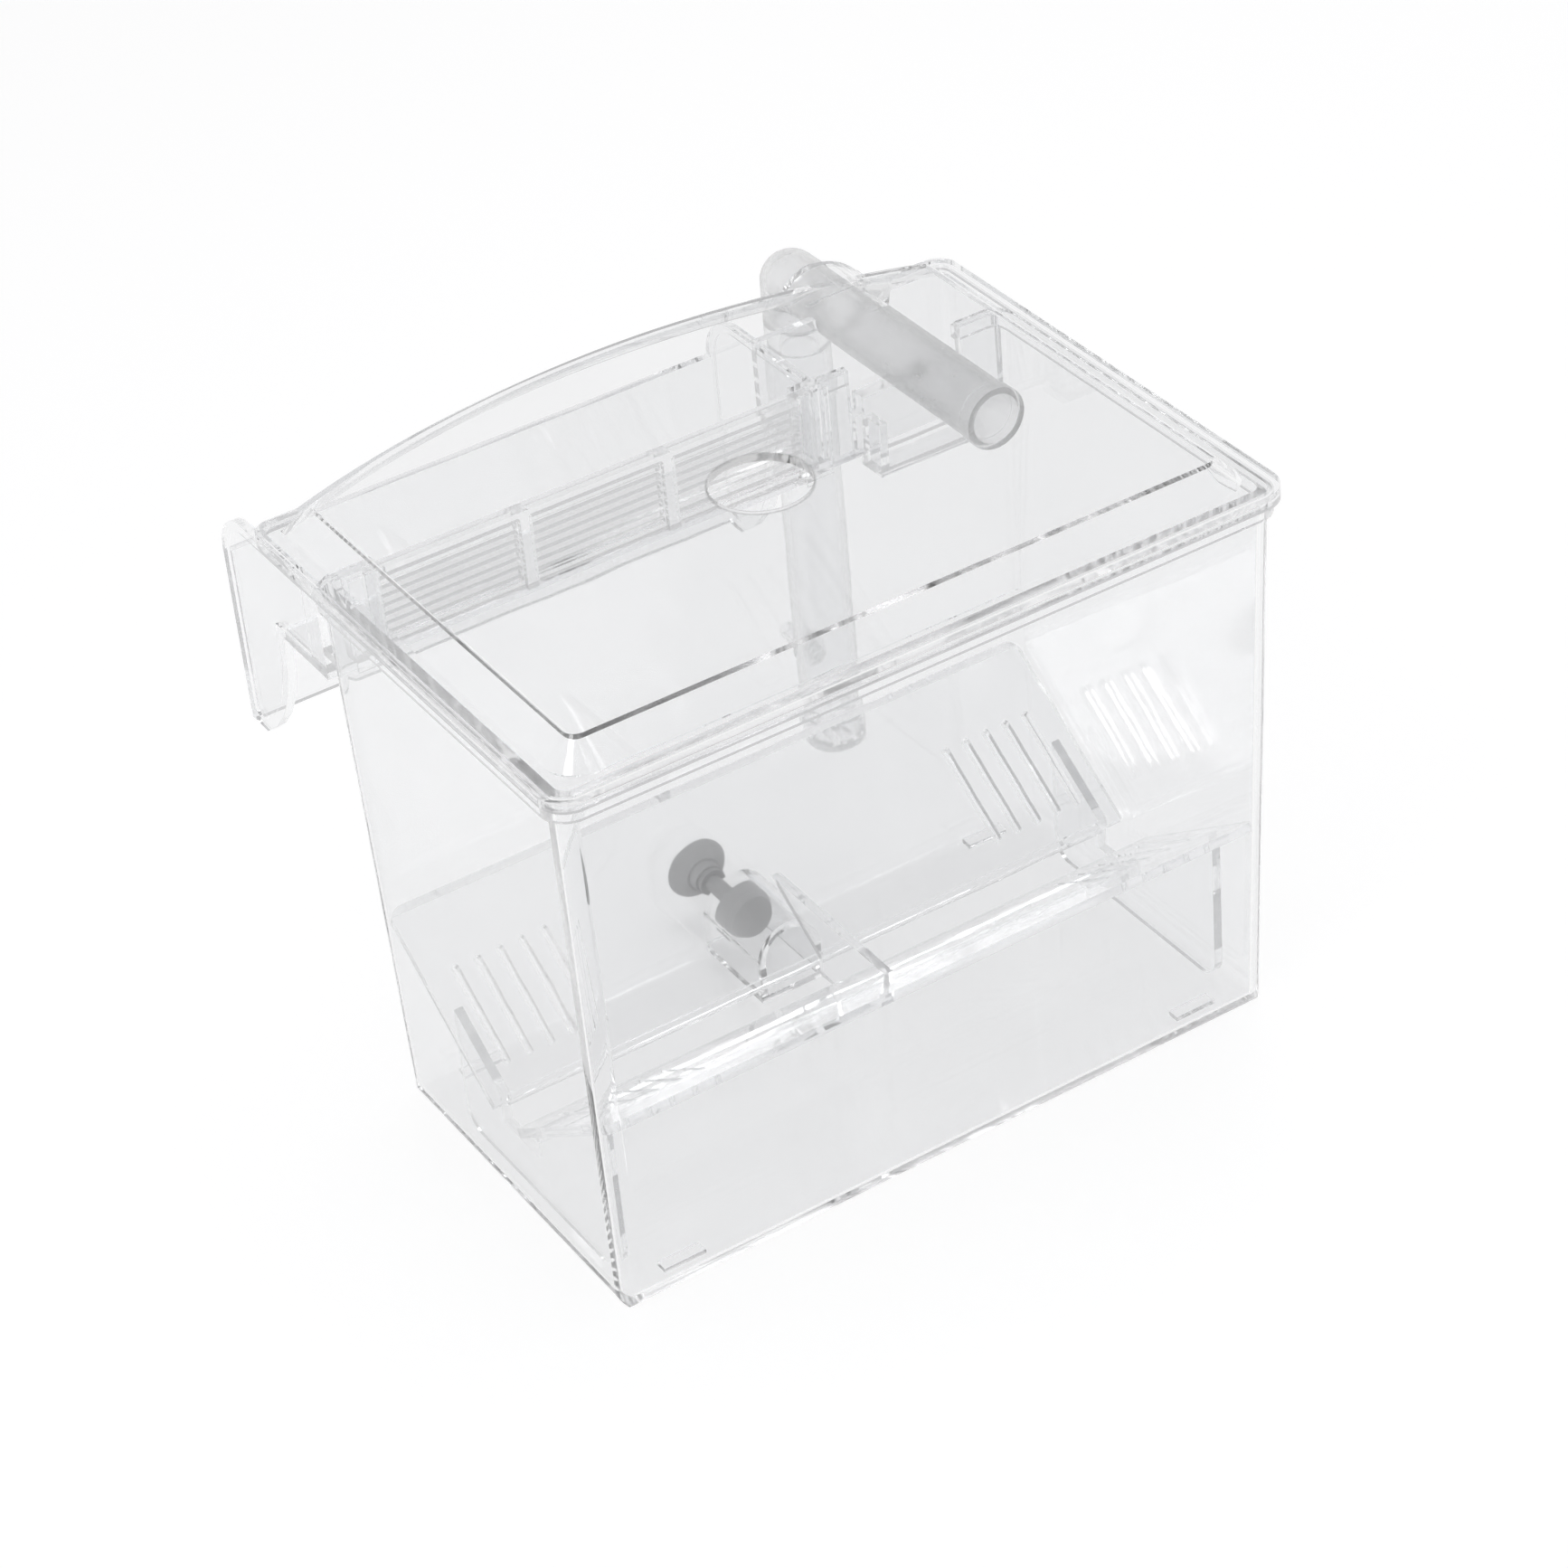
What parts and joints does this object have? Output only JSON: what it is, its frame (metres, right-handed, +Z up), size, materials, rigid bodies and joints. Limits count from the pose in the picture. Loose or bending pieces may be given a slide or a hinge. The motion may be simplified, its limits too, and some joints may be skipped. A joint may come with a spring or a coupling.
{
  "type": "fish breeding box",
  "caption": "Clear hang-on breeding box for an aquarium: lifting lid, sloped slotted spawning tray, overflow spout with grille and an air-lift tube.",
  "frame": {"origin": "middle of the box's flat underside", "axes": "+Z up, +Y towards the tank, +X along the length with the air-lift tube at +X"},
  "size_m": [0.1624, 0.1487, 0.1309],
  "materials": {
    "clear": "clear gloss moulding",
    "grille_clear": "clear gloss moulding",
    "frosted": "frosted moulding",
    "rubber": "soft matt rubber",
    "stem_plastic": "matt"
  },
  "bodies": {
    "box": {"box_shell": "clear", "overflow_spout": "clear", "tube_saddle": "clear"},
    "lid": {"lid": "clear", "tube_hood": "clear"},
    "grille": {"overflow_grille": "grille_clear"},
    "tray": {"tray_back_panel": "clear", "tray_front_panel": "clear", "tray_left_end": "clear", "tray_right_end": "clear", "tray_centre_web": "clear"},
    "outlet": {"outlet_elbow": "frosted"},
    "riser": {"riser_tube": "clear", "air_nozzle": "frosted", "riser_strainer": "frosted"},
    "bumper": {"bumper_stem": "stem_plastic", "bumper_plug": "rubber", "suction_cup": "rubber"}
  },
  "joints": [
    {"name": "lid_lift", "type": "slide", "parent": "box", "child": "lid", "axis": [0, 0, 1], "range_m": [0, 0.06]},
    {"name": "grille_lift", "type": "slide", "parent": "box", "child": "grille", "axis": [0, 0, 1], "range_m": [0, 0.005]},
    {"name": "tray_lift", "type": "slide", "parent": "box", "child": "tray", "axis": [0, 0, 1], "range_m": [0, 0.05]},
    {"name": "outlet_slide", "type": "slide", "parent": "box", "child": "outlet", "axis": [0, 1, 0], "range_m": [-0.007, 0.018]},
    {"name": "riser_turn", "type": "hinge", "parent": "outlet", "child": "riser", "pos_m": [0.0545, 0.0848, 0.1], "axis": [0, 0, 1], "continuous": true},
    {"name": "bumper_slide", "type": "slide", "parent": "box", "child": "bumper", "axis": [0, 1, 0], "range_m": [-0.007, 0.004]}
  ]
}
